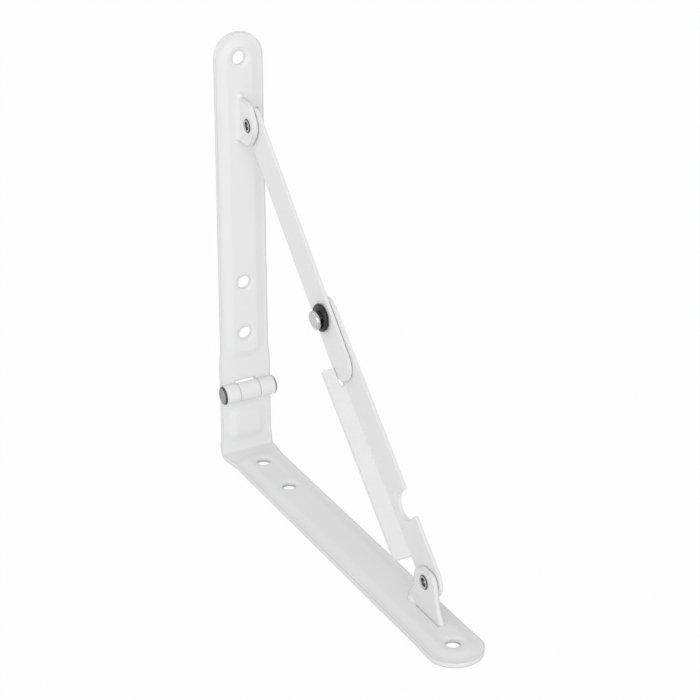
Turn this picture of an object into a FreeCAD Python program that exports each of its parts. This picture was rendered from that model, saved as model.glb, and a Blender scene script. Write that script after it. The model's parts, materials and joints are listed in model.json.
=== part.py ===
"""Folding shelf bracket in white powder-coated steel: two hinged arms and a two-part folding strut.

Frame: +X along the level arm, +Z up along the wall arm, Y across the arms.
Origin: outer corner of the bracket, at mid width, where the wall face meets the underside.
"""
import FreeCAD, Part
import Sketcher
import math
import os

App = FreeCAD
V = App.Vector
os.makedirs("parts", exist_ok=True)
doc = App.newDocument("folding_shelf_bracket")

# Driving sizes, in millimetres
SIZES = {
    "arm_sheet": 2.3,
    "strut_sheet": 1.6,
    "band_width": 23.0,
    "hinge_width": 24.3,
    "cap_width": 23.5,
    "cap_radius": 12.1,
    "wall_top_width": 22.1,
    "wall_top_shift": 0.35,
    "arm_reach": 200.35,
    "arm_height": 201.45,
    "pin_height": 33.05,
    "bend_width": 25.2,
    "leg_width": 24.3,
    "bend_inside": 1.6,
    "pin_diameter": 4.0,
    "running_gap": 0.05,
    "side_gap": 0.3,
    "knuckle_gap": 0.12,
    "knuckle_near": 5.3,
    "knuckle_far": 4.7,
    "knuckle_relief": 0.6,
    "curl_seam": 0.4,
    "pin_head_diameter": 8.6,
    "pin_head_height": 0.95,
    "pin_head_dish": 0.5,
    "screw_hole_diameter": 6.0,
    "dimple_diameter": 9.6,
    "dimple_depth": 0.7,
    "wall_hole_top": 190.45,
    "wall_hole_upper": 86.25,
    "wall_hole_lower": 61.25,
    "shelf_hole_near": 19.05,
    "shelf_hole_middle": 44.75,
    "shelf_hole_far": 187.25,
    "band_raise": 1.2,
    "band_margin": 2.1,
    "band_slope": 3.6,
    "wall_band_start": 49.0,
    "shelf_band_start": 9.0,
    "leg_band_low": 7.4,
    "leg_band_high": 25.0,
    "upper_rivet_out": 11.95,
    "upper_rivet_height": 163.05,
    "lower_rivet_reach": 162.85,
    "lower_rivet_height": 17.45,
    "upper_link": 90.55,
    "knee_set_in": 2.3,
    "ear_sheet": 2.3,
    "ear_bend_length": 18.6,
    "upper_ear_near": 1.15,
    "lower_ear_near": 0.8,
    "upper_strut_near": 1.45,
    "lower_strut_near": 3.35,
    "strut_width": 15.2,
    "tail_reach": 29.0,
    "web_outer_half": 8.3,
    "web_inner_half": 8.6,
    "web_end_radius": 7.4,
    "flange_depth": 9.3,
    "flange_start": 20.5,
    "flange_end": 106.0,
    "slot_end": 28.6,
    "slot_width": 2.2,
    "notch_centre": 88.0,
    "notch_width": 12.0,
    "notch_floor": 1.9,
    "rivet_diameter": 4.0,
    "rivet_flare": 6.4,
    "rivet_flare_height": 0.65,
    "rivet_tail": 6.4,
    "rivet_bore": 2.4,
    "open_pivot_slack": 2.5,
    "button_diameter": 8.3,
    "button_lean": 9.0,
    "button_height": 1.9,
    "ring_diameter": 12.1,
    "ring_thickness": 2.2,
}
sheet = doc.addObject("Spreadsheet::Sheet", "Sizes")
for row, (name, number) in enumerate(SIZES.items(), start=1):
    sheet.set(f"A{row}", name)
    sheet.set(f"B{row}", str(number))
    sheet.setAlias(f"B{row}", name)
doc.recompute()


def size(name):
    """Read one driving size back from the sheet."""
    return float(sheet.get(name))


# Positions that follow from the driving sizes
pin_bore = size("pin_diameter") / 2 + size("running_gap")
barrel_radius = pin_bore + size("arm_sheet")
pin_out = barrel_radius
pin_up = size("pin_height")
half_hinge = size("hinge_width") / 2
half_band = size("band_width") / 2
half_cap = size("cap_width") / 2
face_in = size("arm_sheet")
face_raised = face_in + size("band_raise")
bend_outside = size("bend_inside") + size("arm_sheet")
upper_pivot = V(size("upper_rivet_out"), 0, size("upper_rivet_height"))
lower_pivot = V(size("lower_rivet_reach"), 0, size("lower_rivet_height"))


def knee_point():
    """Find the knee pivot, set in from the straight line between the two rivets."""
    along = (lower_pivot - upper_pivot).normalize()
    inward = V(along.z, 0, -along.x)
    depth = size("knee_set_in")
    reach = math.sqrt(size("upper_link") ** 2 - depth ** 2)
    return upper_pivot + along * reach + inward * depth


knee = knee_point()
lower_link = (lower_pivot - knee).Length


def tilt(start, end):
    """Angle of the line from start to end, in degrees, turning from +X towards +Z."""
    return math.degrees(math.atan2(end.z - start.z, end.x - start.x))


def new_body(name, at=V(0, 0, 0), degrees=0.0):
    """Make one named body, placed at a pivot and turned in the side plane."""
    body = doc.addObject("PartDesign::Body", name)
    body.Label = name
    body.Placement = App.Placement(at, App.Rotation(V(0, -1, 0), degrees))
    return body


def new_sketch(body, name, role, offset=V(0, 0, 0)):
    """Make a sketch on one of the body's own origin planes, moved by offset in sketch axes."""
    sketch = body.newObject("Sketcher::SketchObject", f"{body.Name}_{name}")
    plane = next(item for item in body.Origin.OriginFeatures if item.Role == role)
    sketch.AttachmentSupport = [(plane, "")]
    sketch.MapMode = "FlatFace"
    sketch.AttachmentOffset = App.Placement(offset, App.Rotation())
    return sketch


def draw_outline(sketch, corners):
    """Draw one closed outline through corners (across, up, radius), each rounded by its radius."""
    points = [V(across, up, 0) for across, up, _ in corners]
    joints = []
    for index, (_, _, radius) in enumerate(corners):
        here = points[index]
        to_last = (points[index - 1] - here).normalize()
        to_next = (points[(index + 1) % len(points)] - here).normalize()
        if radius <= 0 or to_last.getAngle(to_next) > math.pi - 0.01:
            joints.append((here, None, here))
            continue
        half = to_last.getAngle(to_next) / 2
        run = radius / math.tan(half)
        middle = (to_last + to_next).normalize()
        crown = here + middle * (radius / math.sin(half) - radius)
        joints.append((here + to_last * run, crown, here + to_next * run))
    for index, (start, crown, end) in enumerate(joints):
        if crown is not None:
            sketch.addGeometry(Part.Arc(start, crown, end), False)
        following = joints[(index + 1) % len(joints)][0]
        if (following - end).Length > 1e-4:
            sketch.addGeometry(Part.LineSegment(end, following), False)


def draw_circle(sketch, across, up, diameter_name):
    """Draw one circle whose diameter follows the sheet."""
    circle = Part.Circle(V(across, up, 0), V(0, 0, 1), size(diameter_name) / 2)
    index = sketch.addGeometry(circle, False)
    constraint = sketch.addConstraint(Sketcher.Constraint("Diameter", index, size(diameter_name)))
    sketch.setExpression(f"Constraints[{constraint}]", f"Sizes.{diameter_name}")


def add_feature(body, kind, name, sketch, length=None, both_ways=False, against=False):
    """Add a pad or pocket; without a length it runs through everything."""
    feature = body.newObject(kind, f"{body.Name}_{name}")
    feature.Profile = sketch
    if length is None:
        feature.Type = "ThroughAll"
    else:
        feature.setExpression("Length", length)
    if both_ways:
        feature.SideType = "Symmetric"
    feature.Reversed = against
    sketch.Visibility = False
    body.Tip = feature
    doc.recompute()
    return feature


def add_pad(body, name, sketch, length, both_ways=False, against=False):
    """Add material from a sketch."""
    return add_feature(body, "PartDesign::Pad", name, sketch, length, both_ways, against)


def cut_through(body, name, sketch):
    """Cut a sketch right through the body, both ways from its plane."""
    return add_feature(body, "PartDesign::Pocket", name, sketch, None, True)


def add_loft(body, kind, name, first, second):
    """Join two outlines with straight sloped walls, adding or removing material."""
    loft = body.newObject(kind, f"{body.Name}_{name}")
    loft.Profile = first
    loft.Sections = [second]
    loft.Ruled = True
    first.Visibility = False
    second.Visibility = False
    body.Tip = loft
    doc.recompute()
    return loft


def raise_band(body, name, role, corners_at):
    """Press a raised band out of the sheet: sloped walls in front, a matching hollow behind."""
    slope = size("band_slope")
    hidden = size("arm_sheet") * math.tan(math.atan2(size("band_raise"), slope) / 2)
    levels = [
        ("front", "PartDesign::AdditiveLoft", 0.0, face_in, face_raised),
        ("back", "PartDesign::SubtractiveLoft", hidden, 0.0, size("band_raise")),
    ]
    for side, kind, inset, low, high in levels:
        foot = new_sketch(body, f"{name}_{side}_foot", role, V(0, 0, low))
        draw_outline(foot, corners_at(inset))
        head = new_sketch(body, f"{name}_{side}_head", role, V(0, 0, high))
        draw_outline(head, corners_at(inset + slope))
        add_loft(body, kind, f"{name}_{side}", foot, head)


def screw_holes(body, role, centres):
    """Cut the screw holes of an arm, each in the middle of a shallow cone on the raised face."""
    holes = new_sketch(body, "screw_holes_outline", role)
    for across, up in centres:
        draw_circle(holes, across, up, "screw_hole_diameter")
    plane = next(item for item in body.Origin.OriginFeatures if item.Role == role)
    for number, (across, up) in enumerate(centres, start=1):
        dimple = body.newObject("PartDesign::SubtractiveCone", f"{body.Name}_dimple_{number}")
        dimple.AttachmentSupport = [(plane, "")]
        dimple.MapMode = "FlatFace"
        dimple.AttachmentOffset = App.Placement(
            V(across, up, face_raised - size("dimple_depth")), App.Rotation())
        dimple.setExpression("Radius1", "Sizes.screw_hole_diameter / 2")
        dimple.setExpression("Radius2", "Sizes.dimple_diameter / 2")
        dimple.setExpression("Height", "Sizes.dimple_depth")
        body.Tip = dimple
        doc.recompute()
    cut_through(body, "screw_holes", holes)


def round_hole(body, name, role, across, up, radius, length=None):
    """Cut one round hole right through, on the given centre."""
    hole = new_sketch(body, f"{name}_outline", role)
    hole.addGeometry(Part.Circle(V(across, up, 0), V(0, 0, 1), radius), False)
    cut_through(body, name, hole)


def add_barrel(body):
    """Roll the hinge knuckle round the pin: a ring as wide as the hinge, with its bore."""
    ring = new_sketch(body, "barrel_outline", "XZ_Plane")
    ring.addGeometry(Part.Circle(V(pin_out, pin_up, 0), V(0, 0, 1), barrel_radius), False)
    add_pad(body, "barrel", ring, "Sizes.hinge_width", both_ways=True)
    round_hole(body, "pin_bore", "XZ_Plane", pin_out, pin_up, pin_bore)


def cut_curl_seam(body, degrees):
    """Open the narrow seam where the curled sheet comes back to the arm."""
    seam = new_sketch(body, "seam_outline", "XZ_Plane")
    angle = math.radians(degrees)
    outward = V(math.cos(angle), math.sin(angle), 0)
    side = V(-outward.y, outward.x, 0) * (size("curl_seam") / 2)
    centre = V(pin_out, pin_up, 0)
    inner = centre + outward * (pin_bore - 0.4)
    outer = centre + outward * (barrel_radius + 0.6)
    corners = [inner - side, outer - side, outer + side, inner + side]
    draw_outline(seam, [(point.x, point.y, 0) for point in corners])
    cut_through(body, "seam", seam)


def cut_box(body, name, role, low, high):
    """Cut a rectangle, from its low corner to its high corner, right through the body."""
    outline = new_sketch(body, f"{name}_outline", role)
    draw_outline(outline, [(low[0], low[1], 0), (high[0], low[1], 0), (high[0], high[1], 0), (low[0], high[1], 0)])
    cut_through(body, name, outline)


def trim_to(body, name, role, corners, low, high):
    """Cut away everything outside an outline, within the rectangle from low to high."""
    outline = new_sketch(body, f"{name}_outline", role)
    draw_outline(outline, [(low[0], low[1], 0), (high[0], low[1], 0), (high[0], high[1], 0), (low[0], high[1], 0)])
    draw_outline(outline, corners)
    cut_through(body, name, outline)


def fillet_edges(body, name, radius, chosen):
    """Round the edges that the test function chooses."""
    edges = [f"Edge{index}" for index, edge in enumerate(body.Tip.Shape.Edges, start=1) if chosen(edge)]
    fillet = body.newObject("PartDesign::Fillet", f"{body.Name}_{name}")
    fillet.Base = (body.Tip, edges)
    fillet.Radius = radius
    body.Tip = fillet
    doc.recompute()


near_split = -size("knuckle_near")
far_split = size("knuckle_far")
half_gap = size("knuckle_gap") / 2
relief = barrel_radius + size("knuckle_relief")
wide = half_hinge + 2

# Wall arm: straight strip, rolled outer knuckles, raised band, upper ear
wall_arm = new_body("wall_arm")
strip = new_sketch(wall_arm, "strip_outline", "XZ_Plane")
top = size("arm_height")
draw_outline(strip, [(0, pin_up, 0), (face_in, pin_up, 0), (face_in, top, 0), (0, top, 0)])
add_pad(wall_arm, "strip", strip, "Sizes.hinge_width", both_ways=True)
add_barrel(wall_arm)
cut_box(wall_arm, "middle_knuckle_gap", "YZ_Plane", (near_split - half_gap, pin_up - relief),
        (far_split + half_gap, pin_up + relief))
taper_low = size("wall_band_start") - 2
top_near = size("wall_top_shift") - size("wall_top_width") / 2
top_far = size("wall_top_shift") + size("wall_top_width") / 2
top_round = size("wall_top_width") / 2 - 0.1
trim_to(wall_arm, "strip_sides", "YZ_Plane", [
    (-half_hinge, pin_up - 8, 0), (half_hinge, pin_up - 8, 0),
    (half_hinge, taper_low, 4), (half_band, taper_low + 7, 4),
    (top_far, top - 15, 0), (top_far, top, top_round),
    (top_near, top, top_round), (top_near, top - 15, 0),
    (-half_band, taper_low + 7, 4), (-half_hinge, taper_low, 4),
], (-wide, pin_up - 8), (wide, top + 3))
cap = size("cap_radius")


def wall_band(inset):
    """Outline of the wall arm's band, drawn in by inset: square foot, round head."""
    half = half_band - size("band_margin") - inset
    low = size("wall_band_start") + inset
    high = top - half_band + half
    foot = 7.5 - inset
    return [(-half, low, foot), (half, low, foot), (half, high, half), (-half, high, half)]


raise_band(wall_arm, "band", "YZ_Plane", wall_band)


def upper_ear_outline():
    """Side outline of the upper ear, from its root in the arm to its rounded nose."""
    across, up = upper_pivot.x, upper_pivot.z
    root = face_in - 0.2
    return [(root, up + 10.2, 0), (across + 0.8, up + 9.6, 3), (across + 7.6, up + 0.1, 6.3),
            (across + 0.6, up - 9.7, 5.5), (root, up - 9.9, 0)]


ear = new_sketch(wall_arm, "ear_outline", "XZ_Plane")
draw_outline(ear, upper_ear_outline())
add_pad(wall_arm, "ear", ear, "Sizes.ear_sheet", both_ways=True)
ear_near = -size("upper_ear_near")


def draw_hollow(sketch, corner, radius, along, rise):
    """Draw the hollow corner where a raised face turns up into an ear."""
    start = corner + along * radius
    end = corner + rise * radius
    crown = corner + (along + rise) * (radius * (1 - math.sqrt(0.5)))
    under = rise * -0.6
    behind = along * -0.5
    sketch.addGeometry(Part.Arc(start, crown, end), False)
    corners = [end, end + behind, corner + behind + under, start + under, start]
    for first, second in zip(corners, corners[1:]):
        sketch.addGeometry(Part.LineSegment(first, second), False)


def add_swell(body, name, centre, along_x, along_y, along_z):
    """Add the soft rounded swelling that a pressed bend leaves at its end."""
    swell = body.newObject("PartDesign::AdditiveEllipsoid", f"{body.Name}_{name}")
    plane = next(item for item in body.Origin.OriginFeatures if item.Role == "XY_Plane")
    swell.AttachmentSupport = [(plane, "")]
    swell.MapMode = "FlatFace"
    swell.AttachmentOffset = App.Placement(centre, App.Rotation())
    swell.Radius1 = along_z
    swell.Radius2 = along_x
    swell.Radius3 = along_y
    body.Tip = swell
    doc.recompute()


flare = new_sketch(wall_arm, "ear_bend_outline", "XY_Plane", V(0, 0, upper_pivot.z - 9.0))
draw_hollow(flare, V(face_raised, ear_near, 0), 2.2, V(0, -1, 0), V(1, 0, 0))
add_pad(wall_arm, "ear_bend", flare, "Sizes.ear_bend_length")
add_swell(wall_arm, "ear_nose", V(face_raised - 0.3, -0.4, upper_pivot.z + 9.9), 1.8, 1.8, 2.6)
round_hole(wall_arm, "rivet_hole", "XZ_Plane", upper_pivot.x, upper_pivot.z,
           size("rivet_diameter") / 2 + size("running_gap"))
cut_box(wall_arm, "ear_window", "YZ_Plane", (-ear_near, upper_pivot.z - 12), (8.6, upper_pivot.z + 4))
screw_holes(wall_arm, "YZ_Plane", [(0, size("wall_hole_top")), (0, size("wall_hole_upper")), (0, size("wall_hole_lower"))])

# Shelf arm: level strip, bend, short leg, rolled middle knuckle, raised bands, lower ear
shelf_arm = new_body("shelf_arm")
reach = size("arm_reach")
angle_strip = new_sketch(shelf_arm, "strip_outline", "XZ_Plane")
draw_outline(angle_strip, [
    (0, 0, bend_outside), (reach, 0, 0), (reach, face_in, 0),
    (face_in, face_in, size("bend_inside")), (face_in, pin_up, 0), (0, pin_up, 0),
])
add_pad(shelf_arm, "strip", angle_strip, "Sizes.bend_width", both_ways=True)
add_barrel(shelf_arm)
for side_name, low_y, high_y in (("near", -wide, near_split + half_gap), ("far", far_split - half_gap, wide)):
    cut_box(shelf_arm, f"{side_name}_knuckle_gap", "YZ_Plane", (low_y, pin_up - relief), (high_y, pin_up + relief))
cut_curl_seam(shelf_arm, -110)
half_bend = size("bend_width") / 2
half_leg = size("leg_width") / 2
shelf_lead = size("shelf_band_start") - 2
trim_to(shelf_arm, "strip_sides", "XY_Plane", [
    (-2, -half_bend, 0), (shelf_lead, -half_bend, 4), (shelf_lead + 8, -half_band, 4),
    (reach - 22, -half_band, 4), (reach - 15, -half_cap, 4), (reach + 2, -half_cap, 0),
    (reach + 2, half_cap, 0), (reach - 15, half_cap, 4), (reach - 22, half_band, 4),
    (shelf_lead + 8, half_band, 4), (shelf_lead, half_bend, 4), (-2, half_bend, 0),
], (-2, -wide), (reach + 3, wide))
trim_to(shelf_arm, "round_end", "XY_Plane", [
    (reach - 30, -cap, 0), (reach, -cap, cap), (reach, cap, cap), (reach - 30, cap, 0),
], (reach - 30, -wide), (reach + 3, wide))
leg_low = size("leg_band_low")
leg_high = size("leg_band_high")
trim_to(shelf_arm, "leg_sides", "YZ_Plane", [
    (-half_bend, bend_outside - 3, 0), (half_bend, bend_outside - 3, 0), (half_bend, leg_low - 1, 2),
    (half_leg, leg_low + 3, 2), (half_leg, leg_high - 1, 2), (half_hinge, leg_high + 3, 2),
    (half_hinge, pin_up + 8, 0), (-half_hinge, pin_up + 8, 0), (-half_hinge, leg_high + 3, 2),
    (-half_leg, leg_high - 1, 2), (-half_leg, leg_low + 3, 2), (-half_bend, leg_low - 1, 2),
], (-wide, bend_outside - 3), (wide, pin_up + 8))


def shelf_band(inset):
    """Outline of the shelf arm's band, drawn in by inset: square start, round end."""
    half = half_band - size("band_margin") - inset
    near = size("shelf_band_start") + inset
    far = reach - half_cap + half
    corner = 7.5 - inset
    return [(near, -half, corner), (far, -half, half), (far, half, half), (near, half, corner)]


def leg_band(inset):
    """Outline of the short leg's band, drawn in by inset."""
    half = 9.5 - inset
    corner = 5.0 - inset
    low = size("leg_band_low") + inset
    high = size("leg_band_high") - inset
    return [(-half, low, corner), (half, low, corner), (half, high, corner), (-half, high, corner)]


raise_band(shelf_arm, "band", "XY_Plane", shelf_band)
raise_band(shelf_arm, "leg_band", "YZ_Plane", leg_band)


def lower_ear_outline():
    """Side outline of the lower ear, from its long root in the arm to its rounded head."""
    across, up = lower_pivot.x, lower_pivot.z
    root = face_in - 0.2
    return [(across - 12.6, root, 0), (across + 12.9, root, 0), (across + 12.6, up - 12.9, 2.2),
            (across + 9.7, up - 8.4, 7), (across + 6.2, up + 5.4, 5), (across - 7.2, up + 5.4, 6.5),
            (across - 8.6, up - 6.0, 4), (across - 12.0, up - 10.6, 2)]


lower_near = size("lower_ear_near")
lower_far = lower_near + size("ear_sheet")
lower_ear = new_sketch(shelf_arm, "ear_outline", "XZ_Plane", V(0, 0, -lower_far))
draw_outline(lower_ear, lower_ear_outline())
add_pad(shelf_arm, "ear", lower_ear, "Sizes.ear_sheet")
add_swell(shelf_arm, "ear_bend", V(lower_pivot.x - 9.8, lower_near + 0.5, face_raised - 0.2), 3.0, 1.7, 2.9)
round_hole(shelf_arm, "rivet_hole", "XZ_Plane", lower_pivot.x, lower_pivot.z,
           size("rivet_diameter") / 2 + size("running_gap"))
cut_box(shelf_arm, "ear_kerf", "XY_Plane", (lower_pivot.x - 6, lower_near - 0.35), (lower_pivot.x + 12.3, lower_near))
cut_box(shelf_arm, "ear_window", "XY_Plane", (lower_pivot.x - 12.6, lower_far), (lower_pivot.x, 8.5))
screw_holes(shelf_arm, "XY_Plane", [(size("shelf_hole_near"), 0), (size("shelf_hole_middle"), 0), (size("shelf_hole_far"), 0)])


def add_turned(name, across, up, outline):
    """Turn an outline (radius, depth) about an axis across the bracket."""
    body = new_body(name, V(across, 0, up))
    profile = new_sketch(body, "profile", "XY_Plane")
    draw_outline(profile, outline)
    turned = body.newObject("PartDesign::Revolution", f"{name}_turned")
    turned.Profile = profile
    turned.ReferenceAxis = (profile, ["V_Axis"])
    turned.Angle = 360
    profile.Visibility = False
    body.Tip = turned
    doc.recompute()
    return body


# Hinge pin with a flat head at each end
pin_radius = size("pin_diameter") / 2
pin_head = size("pin_head_diameter") / 2
pin_end = half_hinge + size("pin_head_height")
dish = size("pin_head_dish")
hinge_pin = add_turned("hinge_pin", pin_out, pin_up, [
    (0, -pin_end + dish, 0), (pin_radius, -pin_end + dish, 0), (pin_head - 0.9, -pin_end, 0),
    (pin_head - 0.3, -pin_end, 0), (pin_head, -pin_end + 0.3, 0), (pin_head, -half_hinge, 0),
    (pin_radius, -half_hinge, 0), (pin_radius, half_hinge, 0), (pin_head, half_hinge, 0),
    (pin_head, pin_end - 0.3, 0), (pin_head - 0.3, pin_end, 0), (0, pin_end, 0),
])


def add_rivet(name, at, near_face, far_face, tail_diameter):
    """Tubular rivet: rolled flare on the near face, shank, flat tail past the far face."""
    shank = size("rivet_diameter") / 2
    flare_radius = size("rivet_flare") / 2
    bore = size("rivet_bore") / 2
    front = near_face - size("rivet_flare_height")
    back = far_face + size("side_gap")
    tail = tail_diameter / 2
    end = back + size("rivet_flare_height")
    return add_turned(name, at.x, at.z, [
        (0, front + 1.6, 0), (bore, front + 1.6, 0), (bore, front + 0.5, 0), (bore + 0.5, front, 0),
        (flare_radius - 0.7, front, 0), (flare_radius, near_face - 0.2, 0), (flare_radius, near_face, 0),
        (shank, near_face, 0), (shank, back, 0), (tail, back, 0), (tail, end, 0), (0, end, 0),
    ])


upper_far = size("upper_strut_near") + size("strut_sheet")
web_far = size("lower_strut_near") + size("strut_sheet")
upper_rivet = add_rivet("upper_rivet", upper_pivot, ear_near, upper_far, size("rivet_tail"))
open_radius = size("rivet_diameter") / 2 + size("open_pivot_slack")
lower_rivet = add_rivet("lower_rivet", lower_pivot, lower_near, web_far, 2 * open_radius + 1.6)

# Knee: button head, rubber ring and both struts on one rivet
ring_front = size("upper_strut_near") - size("ring_thickness")
button_radius = size("button_diameter") / 2
button_front = ring_front - size("button_height")
knee_shank = size("rivet_diameter") / 2
knee_tail = web_far + size("side_gap")
knee_end = knee_tail + size("rivet_flare_height")
tail_radius = size("rivet_tail") / 2
knee_button = add_turned("knee_button", knee.x, knee.z, [
    (0, ring_front - 0.9, 0), (knee_shank, ring_front - 0.9, 0), (knee_shank, knee_tail, 0),
    (tail_radius, knee_tail, 0), (tail_radius, knee_end, 0), (0, knee_end, 0),
])
head = new_sketch(knee_button, "head_outline", "XY_Plane")
head.AttachmentOffset = App.Placement(V(0, ring_front, -0.4), App.Rotation(V(1, 0, 0), size("button_lean")))
head_seat = -button_radius * math.tan(math.radians(size("button_lean"))) - 0.05
draw_outline(head, [
    (0, head_seat - size("button_height"), 0), (button_radius - 1.3, head_seat - size("button_height") + 0.1, 0),
    (button_radius - 0.4, head_seat - size("button_height") + 0.5, 0), (button_radius, head_seat - 0.7, 0),
    (button_radius, head_seat, 0), (0, head_seat, 0),
])
turned_head = knee_button.newObject("PartDesign::Revolution", "knee_button_head")
turned_head.Profile = head
turned_head.ReferenceAxis = (head, ["V_Axis"])
turned_head.Angle = 360
head.Visibility = False
knee_button.Tip = turned_head
doc.recompute()
ring_bore = knee_shank + size("running_gap")
ring_outer = size("ring_diameter") / 2
ring_back = size("upper_strut_near")
ring_round = size("ring_thickness") * 0.4
rubber_ring = add_turned("rubber_ring", knee.x, knee.z, [
    (ring_bore, ring_front, 0), (ring_outer - ring_round, ring_front, 0),
    (ring_outer - ring_round * 0.29, ring_front + ring_round * 0.29, 0), (ring_outer, ring_front + ring_round, 0),
    (ring_outer, ring_back - ring_round, 0), (ring_outer - ring_round * 0.29, ring_back - ring_round * 0.29, 0),
    (ring_outer - ring_round, ring_back, 0), (ring_bore, ring_back, 0),
])

# Upper strut: flat bar from the upper rivet past the knee to its rounded tail
upper_tilt = tilt(upper_pivot, knee)
upper_strut = new_body("upper_strut", upper_pivot, upper_tilt)
half_strut = size("strut_width") / 2
bar = new_sketch(upper_strut, "bar_outline", "XZ_Plane", V(0, 0, -upper_far))
bar_end = size("upper_link") + size("tail_reach")
draw_outline(bar, [(-half_strut, -half_strut, half_strut), (bar_end, -half_strut, half_strut),
                   (bar_end, half_strut, half_strut), (-half_strut, half_strut, half_strut)])
add_pad(upper_strut, "bar", bar, "Sizes.strut_sheet")
hole_radius = size("rivet_diameter") / 2 + size("running_gap")
round_hole(upper_strut, "rivet_hole", "XZ_Plane", 0, 0, hole_radius)
round_hole(upper_strut, "knee_hole", "XZ_Plane", size("upper_link"), 0, hole_radius)

# Lower strut: web with the rivet notch, folded flange with the tail slot
lower_strut = new_body("lower_strut", knee, tilt(knee, lower_pivot))
web = new_sketch(lower_strut, "web_outline", "XZ_Plane", V(0, 0, -web_far))
outer = size("web_outer_half")
inner = size("web_inner_half")
end_radius = size("web_end_radius")
notch_low = size("notch_centre") - size("notch_width") / 2
notch_high = size("notch_centre") + size("notch_width") / 2
notch_floor = -size("notch_floor")
web_end = lower_link + end_radius
draw_outline(web, [
    (-outer, -inner, outer), (size("flange_end"), -inner, 0), (size("flange_end"), -7.5, 0),
    (web_end, -7.5, 7.3), (web_end, outer, end_radius),
    (notch_high, outer, 0.8), (notch_high, notch_floor, 5.8),
    (notch_low, notch_floor, 5.8), (notch_low, outer, 1.2), (-outer, outer, outer),
])
add_pad(lower_strut, "web", web, "Sizes.strut_sheet")
flange = new_sketch(lower_strut, "flange_outline", "XY_Plane", V(0, 0, -inner))
flange_near = web_far - size("flange_depth")
draw_outline(flange, [
    (size("flange_start"), flange_near, 0.9), (size("flange_end"), flange_near, 0.9),
    (size("flange_end"), web_far, 0), (size("flange_start"), web_far, 0),
])
add_pad(lower_strut, "flange", flange, "Sizes.strut_sheet")
slot = new_sketch(lower_strut, "slot_outline", "XY_Plane", V(0, 0, -inner + size("strut_sheet")))
slot_far = size("lower_strut_near")
slot_near = slot_far - size("slot_width")
slot_start = size("flange_start") - 1
slot_round = size("slot_width") * 0.4
draw_outline(slot, [
    (slot_start, slot_near, 0), (size("slot_end"), slot_near, slot_round),
    (size("slot_end"), slot_far, slot_round), (slot_start, slot_far, 0),
])
add_feature(lower_strut, "PartDesign::Pocket", "slot", slot, "Sizes.strut_sheet")
round_hole(lower_strut, "knee_hole", "XZ_Plane", 0, 0, hole_radius)
round_hole(lower_strut, "rivet_hole", "XZ_Plane", lower_link, 0, open_radius + size("running_gap"))

doc.recompute()
for item in doc.Objects:
    if "Invalid" in item.State or "Error" in item.State:
        raise RuntimeError(f"{item.Name} did not build: {item.State}")
for item in doc.findObjects("PartDesign::Body"):
    shape = item.Shape
    if shape.isNull() or not shape.isValid() or len(shape.Solids) != 1:
        raise RuntimeError(f"{item.Label} is not one valid solid")
    shape.exportStep(f"parts/{item.Label}.step")
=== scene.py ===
"""Looks of a white folding shelf bracket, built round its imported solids.

The bracket is powder coated sheet steel; only the rivets, the hinge pin and the knee button
are bare metal, and a black rubber ring sits under the button. The picture is a plain white
product shot: a soft even surround and one broad light from the camera's left.
"""

import json
import logging
import math
from dataclasses import dataclass, field
from enum import Enum
from typing import Any

import bmesh
import bpy
from mathutils import Matrix, Vector

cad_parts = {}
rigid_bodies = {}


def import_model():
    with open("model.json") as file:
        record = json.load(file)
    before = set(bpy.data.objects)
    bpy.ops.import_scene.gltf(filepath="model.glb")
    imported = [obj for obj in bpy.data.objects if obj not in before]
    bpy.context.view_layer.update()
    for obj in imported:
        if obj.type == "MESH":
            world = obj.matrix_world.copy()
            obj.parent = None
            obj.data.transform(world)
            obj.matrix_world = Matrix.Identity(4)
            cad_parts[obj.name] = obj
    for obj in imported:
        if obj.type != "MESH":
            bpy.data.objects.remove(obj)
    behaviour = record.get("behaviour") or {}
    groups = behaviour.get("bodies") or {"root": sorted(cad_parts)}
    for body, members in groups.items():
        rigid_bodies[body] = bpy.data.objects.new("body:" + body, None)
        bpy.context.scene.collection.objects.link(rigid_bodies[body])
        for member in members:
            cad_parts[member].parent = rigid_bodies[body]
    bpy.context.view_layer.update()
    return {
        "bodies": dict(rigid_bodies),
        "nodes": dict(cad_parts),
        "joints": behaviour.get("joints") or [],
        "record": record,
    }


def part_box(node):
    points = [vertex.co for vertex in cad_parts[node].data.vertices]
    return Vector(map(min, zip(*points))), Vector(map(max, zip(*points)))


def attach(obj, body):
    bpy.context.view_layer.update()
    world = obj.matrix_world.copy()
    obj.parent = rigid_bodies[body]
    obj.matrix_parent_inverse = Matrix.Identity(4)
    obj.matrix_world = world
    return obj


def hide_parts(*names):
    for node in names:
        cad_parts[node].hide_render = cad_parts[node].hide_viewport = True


LOG = logging.getLogger("bracket")
MM = 0.001
TURN_STEPS = 96
ROUND_STEPS = 3
CORNER_ANGLE = 0.35
RUBBER_SPECULAR = 0.4
WHITE = (1.0, 1.0, 1.0, 1.0)
Section = tuple[tuple[float, float], ...]


def linear(hex_colour: str) -> tuple[float, float, float, float]:
    """Turn an sRGB hex colour into linear light.

    Args:
        hex_colour: six hexadecimal digits.

    Returns:
        Red, green, blue and alpha, as a shader takes them.
    """
    parts = [int(hex_colour[start:start + 2], 16) / 255 for start in (0, 2, 4)]
    light = [part / 12.92 if part <= 0.04045 else ((part + 0.055) / 1.055) ** 2.4 for part in parts]
    return (light[0], light[1], light[2], 1.0)


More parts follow.
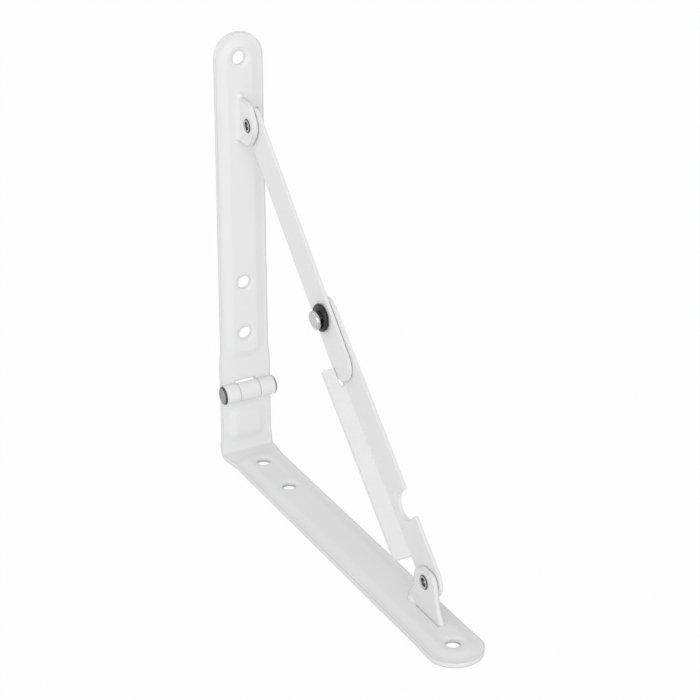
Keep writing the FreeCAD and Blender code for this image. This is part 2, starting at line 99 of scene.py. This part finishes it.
def add_node(tree: bpy.types.NodeTree, kind: str, settings: dict[str, Any] | None = None,
             links: dict[str | int, bpy.types.NodeSocket] | None = None) -> bpy.types.Node:
    """Add one node with its settings and its incoming links.

    Args:
        tree: the node tree to add to.
        kind: the node's type name.
        settings: attribute names, or input names, with their values.
        links: input names or numbers, with the sockets that feed them.

    Returns:
        The new node.
    """
    node = tree.nodes.new(kind)
    for name, value in (settings or {}).items():
        if name in node.bl_rna.properties:
            setattr(node, name, value)
        else:
            node.inputs[name].default_value = value
    for name, source in (links or {}).items():
        tree.links.new(source, node.inputs[name])
    return node


class Surface(Enum):
    """Kinds of surface on the bracket."""

    POWDER_COAT = "powder coat"
    BARE_METAL = "bare metal"
    RUBBER = "rubber"


@dataclass(frozen=True)
class Finish:
    """One finish: what it is made of, its colours, its shine and its grain in millimetres."""

    name: str
    surface: Surface
    colour: str
    shade: str
    roughness: float
    roughness_spread: float
    soft_edge_mm: float
    grain_mm: float
    grain_height_mm: float
    cloud_mm: float
    grain_strength: float = 0.5
    grain_detail: float = 3.0
    cloud_detail: float = 2.0
    edge_samples: int = 10


# Powder coat is baked plastic on steel: it softens pressed edges and has a faint orange peel.
ARM_COAT = Finish(
    "white_powder_coat_arms", Surface.POWDER_COAT, colour="E9E9E9", shade="E5E5E6",
    roughness=0.44, roughness_spread=0.05, soft_edge_mm=1.3,
    grain_mm=0.9, grain_height_mm=0.010, cloud_mm=26.0,
)
STRUT_COAT = Finish(
    "white_powder_coat_struts", Surface.POWDER_COAT, colour="EAEAEA", shade="E6E6E7",
    roughness=0.42, roughness_spread=0.05, soft_edge_mm=0.35,
    grain_mm=0.9, grain_height_mm=0.010, cloud_mm=22.0,
)
# A rivet's crown is steel rolled over and burnished by the punch; its bright rings are the plain steel
# between stretches of painted shade.
RIVET_STEEL = Finish(
    "rolled_rivet_steel", Surface.BARE_METAL, colour="CBCAC8", shade="A4A3A1",
    roughness=0.22, roughness_spread=0.08, soft_edge_mm=0.08,
    grain_mm=0.45, grain_height_mm=0.012, cloud_mm=1.2,
)
# Steel darkened to dark grey: painted shade and painted dark reflection in the folds and the hollow of a
# rivet, and painted shadow on the rims of the pin heads.
PAINTED_SHADE_STEEL = Finish(
    "painted_shade_steel", Surface.BARE_METAL, colour="6A6968", shade="3E3D3D",
    roughness=0.34, roughness_spread=0.10, soft_edge_mm=0.08,
    grain_mm=0.45, grain_height_mm=0.012, cloud_mm=1.4,
)
# A headed pin end keeps the grey, slightly rough face that the heading tool leaves.
PIN_STEEL = Finish(
    "headed_pin_steel", Surface.BARE_METAL, colour="A9A8A6", shade="8F8E8D",
    roughness=0.36, roughness_spread=0.10, soft_edge_mm=0.10,
    grain_mm=0.5, grain_height_mm=0.012, cloud_mm=3.2,
)
# Nickel plate is smooth and a little warm, with a soft broad shine.
NICKEL = Finish(
    "nickel_plate", Surface.BARE_METAL, colour="D2D1CE", shade="B2B1AE",
    roughness=0.24, roughness_spread=0.08, soft_edge_mm=0.10,
    grain_mm=0.8, grain_height_mm=0.005, cloud_mm=3.0,
)
# Moulded black rubber is almost matt, with one soft grey streak on its round edge.
BLACK_RUBBER = Finish(
    "moulded_black_rubber", Surface.RUBBER, colour="171717", shade="101010",
    roughness=0.34, roughness_spread=0.08, soft_edge_mm=0.3,
    grain_mm=0.35, grain_height_mm=0.010, cloud_mm=4.0,
)


class FinishShop:
    """Builds node materials from finishes, one material for each finish."""

    def __init__(self) -> None:
        """Start with no materials."""
        self.made: dict[str, bpy.types.Material] = {}

    def material(self, finish: Finish) -> bpy.types.Material:
        """Give the material of a finish, building it the first time.

        Args:
            finish: the finish to show.

        Returns:
            The finished node material.
        """
        if finish.name not in self.made:
            self.made[finish.name] = self._build(finish)
        return self.made[finish.name]

    def _build(self, finish: Finish) -> bpy.types.Material:
        """Build one material: clouded colour, uneven shine, fine grain and softened edges.

        Args:
            finish: the finish to show.

        Returns:
            The new node material.
        """
        material = bpy.data.materials.new(finish.name)
        material.use_nodes = True
        tree = material.node_tree
        shader = tree.nodes["Principled BSDF"]
        if finish.surface is Surface.BARE_METAL:
            shader.inputs["Metallic"].default_value = 1.0
        if finish.surface is Surface.RUBBER:
            shader.inputs["Specular IOR Level"].default_value = RUBBER_SPECULAR
        place = add_node(tree, "ShaderNodeTexCoord").outputs["Object"]
        cloud = add_node(tree, "ShaderNodeTexNoise", {
            "Scale": 1 / (finish.cloud_mm * MM), "Detail": finish.cloud_detail,
        }, {"Vector": place})
        tint = add_node(tree, "ShaderNodeMix", {"data_type": "RGBA"}, {0: cloud.outputs["Fac"]})
        tint.inputs[6].default_value = linear(finish.colour)
        tint.inputs[7].default_value = linear(finish.shade)
        tree.links.new(tint.outputs[2], shader.inputs["Base Color"])
        grain = add_node(tree, "ShaderNodeTexNoise", {
            "Scale": 1 / (finish.grain_mm * MM), "Detail": finish.grain_detail,
        }, {"Vector": place})
        shine = add_node(tree, "ShaderNodeMapRange", {
            "To Min": finish.roughness - finish.roughness_spread,
            "To Max": finish.roughness + finish.roughness_spread,
        }, {"Value": grain.outputs["Fac"]})
        tree.links.new(shine.outputs["Result"], shader.inputs["Roughness"])
        edge = add_node(tree, "ShaderNodeBevel", {
            "samples": finish.edge_samples, "Radius": finish.soft_edge_mm * MM,
        })
        bump = add_node(tree, "ShaderNodeBump", {
            "Strength": finish.grain_strength, "Distance": finish.grain_height_mm * MM,
        }, {"Height": grain.outputs["Fac"], "Normal": edge.outputs["Normal"]})
        tree.links.new(bump.outputs["Normal"], shader.inputs["Normal"])
        return material


@dataclass
class Arms:
    """The two pressed arms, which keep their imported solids."""

    coat: Finish = ARM_COAT
    nodes: tuple[str, ...] = ("wall_arm", "shelf_arm")

    def dress(self, frame: dict[str, Any], shop: FinishShop) -> None:
        """Coat both arms."""
        for name in self.nodes:
            coat_node(frame, name, shop.material(self.coat))


@dataclass
class Struts:
    """The two struts of the knee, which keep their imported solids."""

    coat: Finish = STRUT_COAT
    nodes: tuple[str, ...] = ("upper_strut", "lower_strut")

    def dress(self, frame: dict[str, Any], shop: FinishShop) -> None:
        """Coat both struts."""
        for name in self.nodes:
            coat_node(frame, name, shop.material(self.coat))


def coat_node(frame: dict[str, Any], name: str, material: bpy.types.Material) -> None:
    """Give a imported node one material.

    Args:
        name: the node.
        material: the material that it wears.
    """
    mesh = frame["nodes"][name].data
    mesh.materials.clear()
    mesh.materials.append(material)
    LOG.info("%s wears %s", name, material.name)


@dataclass(frozen=True)
class Outline:
    """Half section of a turned form in millimetres, and which of its stretches wear painted shade."""

    points: Section
    round_mm: float
    painted_shade_stretches: tuple[int, ...] = ()

    def rounded(self) -> tuple[list[Vector], list[int], bool]:
        """Round the corners of the section.

        Returns:
            The rounded points, the number of the stretch that leads to each, and whether the section
            is a closed loop.
        """
        closed = self.points[0] == self.points[-1]
        corners = [Vector(point) for point in (self.points[:-1] if closed else self.points)]
        places: list[Vector] = []
        stretches: list[int] = []
        for number, corner in enumerate(corners):
            back = corners[number - 1] - corner
            ahead = corners[(number + 1) % len(corners)] - corner
            inner = closed or 0 < number < len(corners) - 1
            arc = [corner]
            if inner and (-back).angle(ahead) > CORNER_ANGLE:
                start, end = back.normalized() * self.round_mm, ahead.normalized() * self.round_mm
                turns = [math.pi / 2 * step / ROUND_STEPS for step in range(ROUND_STEPS + 1)]
                arc = [corner + start * (1 - math.sin(turn)) + end * (1 - math.cos(turn)) for turn in turns]
            places += arc
            stretches += [(number - 1) % len(corners)] * len(arc)
        return places, stretches, closed

    def turn(self, form: bmesh.types.BMesh, place: Matrix) -> None:
        """Turn the rounded section about the Y axis and move it into place.

        Args:
            form: the mesh to add to.
            place: where the turned form goes, in metres.
        """
        places, stretches, closed = self.rounded()
        rings = [self.ring(form, spot, place) for spot in places]
        pairs = zip(places, places[1:] + places[:1])
        outward = sum(first.x * second.y - second.x * first.y for first, second in pairs) > 0
        for number in range(0 if closed else 1, len(rings)):
            inner, outer = rings[number - 1], rings[number]
            for step in range(TURN_STEPS):
                after = (step + 1) % TURN_STEPS
                corners = dict.fromkeys((inner[step], outer[step], outer[after], inner[after]))
                face = form.faces.new(tuple(corners) if outward else tuple(reversed(corners)))
                face.material_index = int(stretches[number] in self.painted_shade_stretches)

    def ring(self, form: bmesh.types.BMesh, spot: Vector, place: Matrix) -> list[bmesh.types.BMVert]:
        """Add the ring of vertices that one place of the section makes.

        Args:
            form: the mesh to add to.
            spot: radius and depth, in millimetres.
            place: where the turned form goes, in metres.

        Returns:
            One vertex for each step round the axis, all the same one if the spot is on the axis.
        """
        if spot.x == 0.0:
            return [form.verts.new(place @ Vector((0.0, spot.y * MM, 0.0)))] * TURN_STEPS
        angles = [math.tau * step / TURN_STEPS for step in range(TURN_STEPS)]
        spots = [Vector((math.cos(angle) * spot.x, spot.y, math.sin(angle) * spot.x)) for angle in angles]
        return [form.verts.new(place @ (around * MM)) for around in spots]


def finish_piece(form: bmesh.types.BMesh, name: str,
                 materials: list[bpy.types.Material]) -> bpy.types.Object:
    """Turn a form into a smooth shaded object at the origin.

    Args:
        form: the modelled form, which is freed.
        name: the piece's name.
        materials: the material that it wears, and the painted shade material of its darkened stretches if it
            has any.

    Returns:
        The new object.
    """
    for face in form.faces:
        face.smooth = True
    mesh = bpy.data.meshes.new(name)
    form.to_mesh(mesh)
    form.free()
    for material in materials:
        mesh.materials.append(material)
    piece = bpy.data.objects.new(name, mesh)
    bpy.context.scene.collection.objects.link(piece)
    even = piece.modifiers.new("even_shading", "WEIGHTED_NORMAL")
    even.keep_sharp = True
    return piece


def axis_of(node: str) -> tuple[Vector, float, float]:
    """Give a turned node's axis point and its ends across the bracket.

    Args:
        node: a node that is turned about an axis along Y.

    Returns:
        The axis point with Y at zero, then the near and the far end, in metres.
    """
    low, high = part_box(node)
    middle = Vector(((low[0] + high[0]) / 2, 0.0, (low[2] + high[2]) / 2))
    return middle, low[1], high[1]


@dataclass
class Rivet:
    """A tubular rivet: rolled crown round a hollow on the near side, a flat tail on the far side."""

    node: str
    body: str
    tail_mm: float
    shank_mm: float = 2.0
    hollow_deep_mm: float = 1.45
    nipple_mm: Section = ((0.0, -0.75), (0.55, -0.7), (1.0, 0.0), (1.4, 0.0))
    crown_mm: Section = ((1.75, 0.4), (2.0, 0.1), (2.3, 0.0), (2.65, 0.08), (3.05, 0.3575), (3.15, 0.65))
    tail_thick_mm: float = 0.65
    tail_edge_mm: float = 0.35
    tail_slope_mm: float = 0.7
    round_mm: float = 0.12
    # Stretches with painted shade: the nipple's side, the hollow's floor and wall, and the crown's outer
    # fold.
    painted_shade_stretches: tuple[int, ...] = (1, 2, 3, 7, 8)
    metal: Finish = RIVET_STEEL
    # Finish of the darkened stretches: steel with painted shade.
    hollow: Finish = PAINTED_SHADE_STEEL

    def outline(self, near: float, far: float) -> Outline:
        """Draw the half section from the nipple in the hollow, over the crown, to the tail.

        Args:
            near: the crown's end along the axis, in millimetres.
            far: the tail's end along the axis, in millimetres.

        Returns:
            The outline to turn.
        """
        floor = near + self.hollow_deep_mm
        nipple = tuple((radius, floor + depth) for radius, depth in self.nipple_mm)
        crown = tuple((radius, near + depth) for radius, depth in self.crown_mm)
        tail = (
            (self.shank_mm, crown[-1][1]), (self.shank_mm, far - self.tail_thick_mm),
            (self.tail_mm, far - self.tail_thick_mm), (self.tail_mm, far - self.tail_edge_mm),
            (self.tail_mm - self.tail_slope_mm, far), (0.0, far),
        )
        return Outline(nipple + crown + tail, self.round_mm, self.painted_shade_stretches)

    def build(self, shop: FinishShop) -> None:
        """Build the rivet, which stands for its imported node.

        Args:
            shop: where materials are made.
        """
        middle, near, far = axis_of(self.node)
        form = bmesh.new()
        self.outline(near / MM, far / MM).turn(form, Matrix.Translation(middle))
        piece = finish_piece(form, f"{self.node}_rolled",
                             [shop.material(self.metal), shop.material(self.hollow)])
        settle(piece, self.node, self.body)


@dataclass
class HingePin:
    """The hinge pin: a dished head on the near end, a plain head on the far end."""

    node: str = "hinge_pin"
    body: str = "wall_arm"
    shank_mm: float = 2.0
    head_mm: float = 4.25
    head_thick_mm: float = 0.95
    face_mm: float = 3.5
    dish_mm: float = 2.9
    dish_deep_mm: float = 0.3
    dish_wall_mm: float = 0.2
    rim_slope_mm: float = 0.6
    round_mm: float = 0.10
    # Stretches with painted shadow: the slopes and sides of both heads.
    painted_shade_stretches: tuple[int, ...] = (3, 4, 8, 9)
    metal: Finish = PIN_STEEL
    # Finish of the darkened head rims: steel with painted shadow.
    rim: Finish = PAINTED_SHADE_STEEL

    def build(self, shop: FinishShop) -> None:
        """Build the pin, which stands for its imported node.

        Args:
            shop: where materials are made.
        """
        middle, near_end, far_end = axis_of(self.node)
        near, far = near_end / MM, far_end / MM
        outline = Outline((
            (0.0, near + self.dish_deep_mm), (self.dish_mm, near + self.dish_deep_mm),
            (self.dish_mm + self.dish_wall_mm, near), (self.face_mm, near),
            (self.head_mm, near + self.rim_slope_mm),
            (self.head_mm, near + self.head_thick_mm), (self.shank_mm, near + self.head_thick_mm),
            (self.shank_mm, far - self.head_thick_mm), (self.head_mm, far - self.head_thick_mm),
            (self.head_mm, far - self.rim_slope_mm), (self.face_mm, far), (0.0, far),
        ), self.round_mm, self.painted_shade_stretches)
        form = bmesh.new()
        outline.turn(form, Matrix.Translation(middle))
        piece = finish_piece(form, "hinge_pin_headed",
                             [shop.material(self.metal), shop.material(self.rim)])
        settle(piece, self.node, self.body)


@dataclass
class KneeRing:
    """The rubber ring between the button and the upper strut."""

    node: str = "rubber_ring"
    body: str = "upper_strut"
    bore_mm: float = 2.05
    outer_mm: float = 6.05
    soft_mm: float = 0.95
    corner_mm: float = 0.285
    round_mm: float = 0.114
    rubber: Finish = BLACK_RUBBER

    def build(self, shop: FinishShop) -> None:
        """Build the ring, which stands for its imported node.

        Args:
            shop: where materials are made.
        """
        middle, near_end, far_end = axis_of(self.node)
        near, far = near_end / MM, far_end / MM
        soft, corner = self.soft_mm, self.corner_mm
        outline = Outline((
            (self.bore_mm, near), (self.outer_mm - soft, near), (self.outer_mm - corner, near + corner),
            (self.outer_mm, near + soft), (self.outer_mm, far - soft),
            (self.outer_mm - corner, far - corner), (self.outer_mm - soft, far),
            (self.bore_mm, far), (self.bore_mm, near),
        ), self.round_mm)
        form = bmesh.new()
        outline.turn(form, Matrix.Translation(middle))
        piece = finish_piece(form, "rubber_ring_moulded", [shop.material(self.rubber)])
        settle(piece, self.node, self.body)


@dataclass
class KneeButton:
    """The push button on the knee rivet; its head leans a little."""

    node: str = "knee_button"
    body: str = "upper_strut"
    lean_deg: float = 9.0
    head_mm: float = 4.15
    head_thick_mm: float = 1.9
    rim_mm: Section = ((3.4, 0.0), (4.0, 0.4), (4.15, 0.9))
    seat_mm: float = -0.75
    seat_gap_mm: float = 0.05
    drop_mm: float = 0.4
    shank_mm: float = 2.0
    shank_in_head_mm: float = 0.9
    tail_mm: float = 3.2
    tail_thick_mm: float = 0.65
    tail_edge_mm: float = 0.35
    tail_slope_mm: float = 0.7
    round_mm: float = 0.14
    metal: Finish = NICKEL

    def build(self, shop: FinishShop) -> None:
        """Build the button and its shank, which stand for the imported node.

        Args:
            shop: where materials are made.
        """
        ring_middle, _, _ = axis_of("rubber_ring")
        _, _, far_end = axis_of(self.node)
        far = far_end / MM
        shank_top = self.seat_mm - self.shank_in_head_mm
        form = bmesh.new()
        Outline((
            (0.0, shank_top), (self.shank_mm, shank_top), (self.shank_mm, far - self.tail_thick_mm),
            (self.tail_mm, far - self.tail_thick_mm), (self.tail_mm, far - self.tail_edge_mm),
            (self.tail_mm - self.tail_slope_mm, far), (0.0, far),
        ), self.round_mm).turn(form, Matrix.Translation(ring_middle))
        seat = -self.head_mm * math.tan(math.radians(self.lean_deg)) - self.seat_gap_mm
        front = seat - self.head_thick_mm
        rim = tuple((radius, front + depth) for radius, depth in self.rim_mm)
        lean = Matrix.Rotation(math.radians(self.lean_deg), 4, "X")
        spot = Matrix.Translation(ring_middle + Vector((0.0, self.seat_mm, -self.drop_mm)) * MM)
        head = ((0.0, front), *rim, (self.head_mm, seat), (0.0, seat))
        Outline(head, self.round_mm).turn(form, spot @ lean)
        piece = finish_piece(form, "knee_button_plated", [shop.material(self.metal)])
        settle(piece, self.node, self.body)


def settle(piece: bpy.types.Object, node: str, body: str) -> None:
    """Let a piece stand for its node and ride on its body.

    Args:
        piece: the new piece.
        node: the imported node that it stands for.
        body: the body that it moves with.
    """
    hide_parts(node)
    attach(piece, body)
    LOG.info("%s stands for %s", piece.name, node)


@dataclass
class Studio:
    """Camera, floor and light of the product shot."""

    eye_mm: Vector = field(default_factory=lambda: Vector((783.88, -368.50, 471.04)))
    azimuth_deg: float = 61.61
    elevation_deg: float = 25.88
    lens_mm: float = 108.83
    sensor_mm: float = 36.0
    clip_m: tuple[float, float] = (0.01, 20.0)
    surround: float = 0.685
    key_direction: Vector = field(default_factory=lambda: Vector((0.88, -0.40, 0.32)))
    key_strength: float = 1.17
    key_spread_deg: float = 60.0
    floor_radius_m: float = 4.0
    floor_centre_m: float = 0.1
    floor_sides: int = 128
    floor_paper: tuple[float, float, float, float] = (0.9, 0.9, 0.9, 1.0)
    floor_drop_mm: float = 1.2
    floor_white: float = 0.96
    overhead_mm: Vector = field(default_factory=lambda: Vector((-30.0, -215.0, 315.0)))
    overhead_watt: float = 0.115
    overhead_size_mm: float = 250.0
    overhead_aim_mm: Vector = field(default_factory=lambda: Vector((60.0, 0.0, 30.0)))

    def add_camera(self) -> None:
        """Place the camera of the photograph."""
        data = bpy.data.cameras.new("camera")
        data.lens = self.lens_mm
        data.sensor_width = self.sensor_mm
        data.clip_start, data.clip_end = self.clip_m
        camera = bpy.data.objects.new("camera", data)
        bpy.context.scene.collection.objects.link(camera)
        azimuth, elevation = math.radians(self.azimuth_deg), math.radians(self.elevation_deg)
        level = math.cos(elevation)
        back = Vector((math.sin(azimuth) * level, -math.cos(azimuth) * level, math.sin(elevation)))
        camera.location = self.eye_mm * MM
        camera.rotation_mode = "QUATERNION"
        camera.rotation_quaternion = (-back).to_track_quat("-Z", "Y")
        bpy.context.scene.camera = camera

    def add_surround(self) -> None:
        """Fill the world: pure white to the eye and to reflections, a soft even light elsewhere."""
        world = bpy.data.worlds.new("surround")
        bpy.context.scene.world = world
        world.use_nodes = True
        tree = world.node_tree
        tree.nodes.clear()
        seen = self.seen_rays(tree)
        light = add_node(tree, "ShaderNodeBackground", {"Color": WHITE, "Strength": self.surround})
        white = add_node(tree, "ShaderNodeBackground", {"Color": WHITE})
        mix = add_node(tree, "ShaderNodeMixShader", None,
                       {0: seen, 1: light.outputs["Background"], 2: white.outputs["Background"]})
        add_node(tree, "ShaderNodeOutputWorld", None, {"Surface": mix.outputs["Shader"]})

    def seen_rays(self, tree: bpy.types.NodeTree) -> bpy.types.NodeSocket:
        """Give a socket that is one for camera, glossy and transmission rays.

        Args:
            tree: the node tree to add to.

        Returns:
            The socket.
        """
        path = add_node(tree, "ShaderNodeLightPath")
        first = add_node(tree, "ShaderNodeMath", {"operation": "MAXIMUM"},
                         {0: path.outputs["Is Camera Ray"], 1: path.outputs["Is Glossy Ray"]})
        both = add_node(tree, "ShaderNodeMath", {"operation": "MAXIMUM"},
                        {0: first.outputs["Value"], 1: path.outputs["Is Transmission Ray"]})
        return both.outputs["Value"]

    def add_floor(self) -> None:
        """Lay a pale round floor just under the bracket; it keeps a faint shadow."""
        form = bmesh.new()
        bmesh.ops.create_circle(form, cap_ends=True, radius=self.floor_radius_m, segments=self.floor_sides)
        bmesh.ops.translate(form, vec=(self.floor_centre_m, 0.0, -self.floor_drop_mm * MM), verts=form.verts)
        mesh = bpy.data.meshes.new("floor")
        form.to_mesh(mesh)
        form.free()
        material = bpy.data.materials.new("white_floor")
        material.use_nodes = True
        tree = material.node_tree
        tree.nodes.clear()
        paper = add_node(tree, "ShaderNodeBsdfDiffuse", {"Color": self.floor_paper})
        glow = add_node(tree, "ShaderNodeEmission", {"Color": WHITE})
        share = add_node(tree, "ShaderNodeMath", {"operation": "MULTIPLY"}, {0: self.seen_rays(tree)})
        share.inputs[1].default_value = self.floor_white
        mix = add_node(tree, "ShaderNodeMixShader", None,
                       {0: share.outputs["Value"], 1: paper.outputs["BSDF"], 2: glow.outputs["Emission"]})
        add_node(tree, "ShaderNodeOutputMaterial", None, {"Surface": mix.outputs["Shader"]})
        mesh.materials.append(material)
        floor = bpy.data.objects.new("floor", mesh)
        bpy.context.scene.collection.objects.link(floor)

    def add_key(self) -> None:
        """Hang the broad soft light to the camera's left."""
        data = bpy.data.lights.new("key", "SUN")
        data.energy = self.key_strength
        data.angle = math.radians(self.key_spread_deg)
        key = bpy.data.objects.new("key", data)
        bpy.context.scene.collection.objects.link(key)
        key.rotation_euler = self.key_direction.to_track_quat("Z", "Y").to_euler()

    def add_overhead(self) -> None:
        """Hang a small soft box over the corner, so that the far end of the shelf arm falls away."""
        data = bpy.data.lights.new("overhead", "AREA")
        data.energy = self.overhead_watt
        data.size = self.overhead_size_mm * MM
        lamp = bpy.data.objects.new("overhead", data)
        lamp.visible_camera = False
        bpy.context.scene.collection.objects.link(lamp)
        lamp.location = self.overhead_mm * MM
        aim = self.overhead_mm - self.overhead_aim_mm
        lamp.rotation_euler = aim.to_track_quat("Z", "Y").to_euler()

    def set_up(self) -> None:
        """Build the whole studio with a plain view transform."""
        self.add_camera()
        self.add_surround()
        self.add_floor()
        self.add_key()
        self.add_overhead()
        bpy.context.scene.view_settings.view_transform = "Standard"


def main() -> None:
    """Build the scene."""
    logging.basicConfig(level=logging.INFO)
    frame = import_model()
    shop = FinishShop()
    Arms().dress(frame, shop)
    Struts().dress(frame, shop)
    Rivet("upper_rivet", "wall_arm", tail_mm=3.2).build(shop)
    Rivet("lower_rivet", "shelf_arm", tail_mm=5.3).build(shop)
    HingePin().build(shop)
    KneeRing().build(shop)
    KneeButton().build(shop)
    Studio().set_up()


if __name__ == "__main__":
    main()
